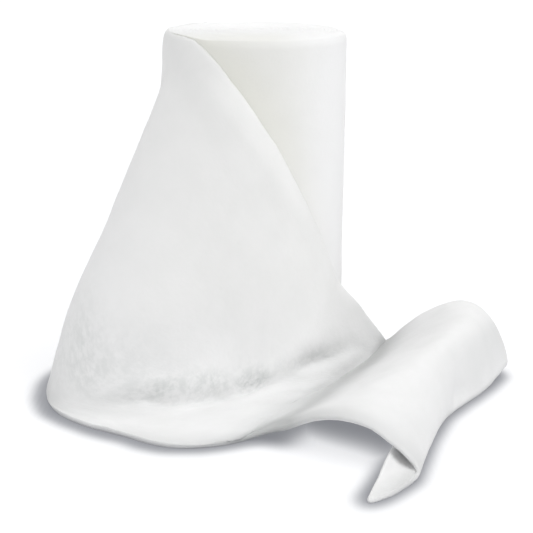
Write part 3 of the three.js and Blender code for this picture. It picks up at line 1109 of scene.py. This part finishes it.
    def wall_places(self, top: np.ndarray, bottom: np.ndarray, share: np.ndarray) -> np.ndarray:
        """Rows of the outer side between the rims of the two ends.

        Heights run evenly from rim to rim, crowded at both; the side is drawn in quadratically to meet
        the rims, is never quite even, stands a little fuller at its upper right and swells to meet the
        strip's upper edge.

        Args:
            top, bottom: places of the two rims, n x 3, in millimetres.
            share: how far round from the step each of them is.
        Returns:
            Array of rows x n x 3.
        """
        s = np.linspace(0, 1, self.wall_rows)
        s = s - self.row_crowd * np.sin(2 * np.pi * s)
        height = top[:, 2] * (1 - s[:, None]) + bottom[:, 2] * s[:, None]
        below, above = top[:, 2] - height, height - bottom[:, 2]
        wall = self.radius_of(self.turns - 1 + share)
        inset = np.clip(1 - below / self.rim_side, 0, 1) ** 2 * (wall - np.hypot(top[:, 0], top[:, 1]))
        near_bottom = np.clip(1 - above / self.rim_side, 0, 1) ** 2
        inset += near_bottom * (wall - np.hypot(bottom[:, 0], bottom[:, 1]))
        angle = self.angle_at(share)
        calm = np.clip(below / self.calm_side, 0, 1) * np.clip(above / self.calm_side, 0, 1)
        arc = np.broadcast_to(share * self.side_round, height.shape)
        uneven = sum(depth * (lumps.at(arc, height) - 1) for depth, lumps in self.side_lumps)
        facing_right = np.clip(np.cos(angle - math.radians(self.fuller_azimuth)), 0, 1) ** 2
        upper = np.clip((height - self.fuller_from) / self.fuller_from, 0, 1)
        fuller = self.fuller * facing_right * upper
        radius = wall - inset + (uneven * calm + fuller) * self.step_fade.up(share)
        edge, _ = self.beside_strip(np.degrees(angle) % 360, height)
        close = bell(edge, self.swell_reach) * self.swell_start.up(share)
        radius = radius * (1 - close) + (wall + self.swell) * close
        return round_axis(radius, angle, height)

    def surface(self) -> Surface:
        """Both ends, the side and the narrow face of the step, joined into one closed surface."""
        top, top_face = self.end_face(True)
        bottom, bottom_face = self.end_face(False)
        share = np.arange(self.around + 1) / self.around
        rows = self.wall_places(top[-1], bottom[-1], share)
        rows[0], rows[-1] = top[-1], bottom[-1]
        arc = np.broadcast_to(share * 2 * np.pi * STRIP.roll_radius, rows.shape[:2])
        uv = np.stack([arc, rows[..., 2]], -1).reshape(-1, 2) * MM
        quads = grid_quads(self.wall_rows, self.around + 1)
        # painted light below the upper rim and at the right of the side
        near_rim = bell(rows[:1, :, 2] - rows[..., 2], self.painted_light_reach)
        pale_side = self.side_pale * self.side_pale_right.up(rows[..., 0])
        fluffy = np.maximum(near_rim * self.paleness(rows[:1]), pale_side)
        # painted warm shade on the side, with the painted shadow beside the strip's upper edge
        marks = {"deep": self._side_warm_shade(rows).ravel(), "fluffy": fluffy.ravel()}
        side = Surface(rows.reshape(-1, 3) * MM, quads, uv[quads], marks)
        return joined([top_face, bottom_face, side, self._step(top, bottom, rows)])

    @staticmethod
    def beside_strip(azimuth: np.ndarray, height: np.ndarray) -> tuple[np.ndarray, np.ndarray]:
        """Distance on the roll's side from the strip's upper edge, and the place along that edge.

        Args:
            azimuth: degrees from +X, 0 to 360.
            height: millimetres above the table.
        Returns:
            The distances, and numbers from 0 at the first place of EDGE to 9 at its last.
        """
        around = math.pi / 180 * STRIP.roll_radius
        path = np.stack([azimuth_of(EDGE) % 360 * around, EDGE[:, 2]], -1)
        distance, where = near_path(azimuth * around, height, path)
        return np.abs(distance), where

    def _side_warm_shade(self, places: np.ndarray) -> np.ndarray:
        """Painted warm shade on the side: most as a painted shadow beside the strip's upper edge, less on
        the right.

        Args:
            places: grid of the side in millimetres.
        Returns:
            A grid of numbers from 0 to 1.
        """
        x, z = places[..., 0], places[..., 2]
        distance, where = self.beside_strip(azimuth_of(places) % 360, z)
        strength = np.interp(where, np.arange(len(self.shade_along)), self.shade_along)
        beside = strength * bell(distance, self.shade_reach)
        least, more = self.side_warm_shade
        ground = (least + more * self.side_warm_shade_height.up(z)) * self.side_warm_shade_right.down(x)
        return ground * (1 - beside) + beside

    def _step(self, top: np.ndarray, bottom: np.ndarray, rows: np.ndarray) -> Surface:
        """The face between the start of the outermost turn and its end, from rim to rim.

        Args:
            top, bottom: grids of the two ends in millimetres.
            rows: grid of the side.
        Returns:
            The surface.
        """
        first = top.shape[0] - 1 - self.rings_per_turn
        s = np.linspace(0, 1, self.rings_per_turn + 1)[None, :, None]
        places = rows[:, :1] * (1 - s) + rows[:, -1:] * s
        places[0], places[-1] = top[first:, -1], bottom[first:, -1]
        quads = grid_quads(self.wall_rows, self.rings_per_turn + 1, flip=True)
        flat = places.reshape(-1, 3) * MM
        uv = np.stack([flat[:, 0] + flat[:, 1], flat[:, 2]], -1)
        return Surface(flat, quads, uv[quads])


@dataclass
class Table:
    """The plain white surface that the roll stands on, with a soft shadow painted round and under the
    cloth.
    """

    half_side: float = 6.0  # metres
    low: tuple[float, float] = (-170.0, -230.0)  # millimetres, corner of the part where the mesh is fine
    high: tuple[float, float] = (200.0, 130.0)
    cell: float = 2.0  # millimetres
    close: float = 6.0  # millimetres above the table at which cloth counts a third for the contact shadow
    fall: tuple[float, float] = (-2.2, -1.2)  # millimetres by which that shadow lies to the left and front
    softness: tuple[float, float] = (3.4, 5.0)  # millimetres, breadths of the bell curve that blurs it
    half: float = 0.28  # blurred share at which the contact shadow is at nearly two thirds
    power: float = 1.4  # how steeply that shadow ends
    reach: tuple[float, float] = (6.0, 14.0)  # millimetres that light reaches in under the cloth
    lit: float = 0.78  # blurred share under the cloth up to which the table is lit

    def blurred(self, cells: np.ndarray, breadths: tuple[float, float]) -> np.ndarray:
        """The cells blurred with a bell curve, whose breadths in the two directions are millimetres."""
        waves = [np.fft.fftfreq(n, self.cell) for n in cells.shape]
        across, away = (np.exp(-2 * (np.pi * b * wave) ** 2) for b, wave in zip(breadths, waves))
        return np.clip(np.fft.ifft2(np.fft.fft2(cells) * across[:, None] * away[None, :]).real, 0, 1)

    def covered(self, pieces: Sequence[bpy.types.Object]) -> np.ndarray:
        """The painted shadow on each point of the fine mesh: how far cloth keeps light off it.

        For the contact shadow the lowest cloth above a cell counts exp(-(height / close)^2); the cells
        are blurred to b, and the shadow is 1 - exp(-(b / half)^power). Under the cloth each cell with
        any cloth above counts 1; the cells are blurred to b, and the shadow is the square of how far b
        has come from lit to 1. The stronger of the two holds.

        Args:
            pieces: what lies and stands on the table.
        Returns:
            A grid of numbers from 0 to 1.
        """
        count = [int(round((high - low) / self.cell)) + 1 for low, high in zip(self.low, self.high)]
        contact, under = np.zeros(count), np.zeros(count)
        for piece in pieces:
            points = np.empty(3 * len(piece.data.vertices), np.float32)
            piece.data.vertices.foreach_get("co", points)
            points = points.reshape(-1, 3) / MM
            cell = np.round((points[:, :2] - self.low) / self.cell).astype(int)
            under[cell[:, 0], cell[:, 1]] = 1
            cell = np.round((points[:, :2] + self.fall - self.low) / self.cell).astype(int)
            np.maximum.at(contact, (cell[:, 0], cell[:, 1]), bell(points[:, 2], self.close))
        contact = 1 - np.exp(-((self.blurred(contact, self.softness) / self.half) ** self.power))
        under = np.clip((self.blurred(under, self.reach) - self.lit) / (1 - self.lit), 0, 1) ** 2
        return np.maximum(contact, under)

    def build(self, finish: bpy.types.Material, pieces: Sequence[bpy.types.Object]) -> bpy.types.Object:
        """Makes the table, which isn't part of the object.

        Args:
            finish: its material.
            pieces: what lies and stands on it.
        Returns:
            The table.
        """
        covered = self.covered(pieces)
        lines = []
        for low, count in zip(self.low, covered.shape):
            fine = low * MM + np.arange(count) * self.cell * MM
            lines.append(np.concatenate([[-self.half_side], fine, [self.half_side]]))
        x, y = np.meshgrid(*lines, indexing="ij")
        points = np.stack([x, y, np.zeros_like(x)], -1).reshape(-1, 3)
        quads = grid_quads(*x.shape)
        # the painted shadow, carried by the mark "covered"
        marks = {"covered": np.pad(covered, 1).ravel()}
        table = to_object("table", Surface(points, quads, points[quads][..., :2], marks), finish)
        return table


class Lamp(Enum):
    """The studio's lamps: the direction that the light comes from, its breadth and strength."""

    ABOVE = ((0.0, 0.0, 1.0), 60.0, 0.57)
    RIGHT_ABOVE = ((0.8, -0.3, 1.0), 50.0, 1.78)
    FRONT = ((0.0, -1.0, 0.6), 80.0, 1.16)
    FRONT_LEFT = ((-1.0, -0.6, 0.6), 80.0, 0.42)
    LEFT = ((-1.0, 0.2, 0.6), 60.0, 0.64)
    BACK = ((0.0, 1.0, 0.8), 60.0, 0.91)

    @property
    def towards(self) -> Vector:
        """Direction from the object to the lamp."""
        return Vector(self.value[0])

    @property
    def breadth(self) -> float:
        """Angle that the lamp takes up, in degrees."""
        return self.value[1]

    @property
    def strength(self) -> float:
        """Strength in watts a square metre."""
        return self.value[2]


@dataclass
class Studio:
    """Soft, even studio light on a white ground."""

    sky_strength: float = 0.0  # the lamps alone light the scene

    def build(self) -> None:
        """Makes the lamps and the dark sky, and shows colours as they are."""
        for lamp in Lamp:
            data = bpy.data.lights.new(lamp.name.lower(), "SUN")
            data.energy = lamp.strength
            data.angle = math.radians(lamp.breadth)
            light = bpy.data.objects.new(lamp.name.lower(), data)
            light.rotation_euler = lamp.towards.to_track_quat("Z", "Y").to_euler()
            bpy.context.collection.objects.link(light)
        world = bpy.data.worlds.new("studio")
        world.use_nodes = True
        world.node_tree.nodes["Background"].inputs["Strength"].default_value = self.sky_strength
        bpy.context.scene.world = world
        bpy.context.scene.view_settings.view_transform = "Standard"


@dataclass
class PhotoCamera:
    """Camera at the photograph's place: in front of the roll, a little above it."""

    place: Place = (4.4, -620.0, 209.8)  # millimetres
    pitch: float = 14.56  # degrees down
    focal_pixels: float = 1497.0
    sensor: float = 36.0  # millimetres
    nearest: float = 0.05  # metres
    farthest: float = 50.0

    def build(self) -> None:
        """Makes the camera and looks through it."""
        data = bpy.data.cameras.new("camera")
        data.sensor_width = self.sensor
        data.lens = self.focal_pixels / PICTURE_SIDE * self.sensor
        data.clip_start = self.nearest
        data.clip_end = self.farthest
        camera = bpy.data.objects.new("camera", data)
        camera.location = Vector(self.place) * MM
        camera.rotation_euler = (math.radians(90.0 - self.pitch), 0.0, 0.0)
        bpy.context.collection.objects.link(camera)
        bpy.context.scene.camera = camera


def report(piece: bpy.types.Object) -> None:
    """Logs a piece's name and number of faces."""
    log.info("%s: %d faces", piece.name, len(piece.data.polygons))


def main() -> None:
    """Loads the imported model, dresses it and sets up the picture."""
    logging.basicConfig(level=logging.INFO, format="%(message)s")
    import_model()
    PhotoCamera().build()
    Studio().build()
    wadding = WaddingFinish().make()
    roll = WoundRoll().build(wadding)
    report(roll)
    loose_end = LooseEnd().build(wadding)
    report(loose_end)
    report(Table().build(TableFinish().make(), [roll, loose_end]))


if __name__ == "__main__":
    main()
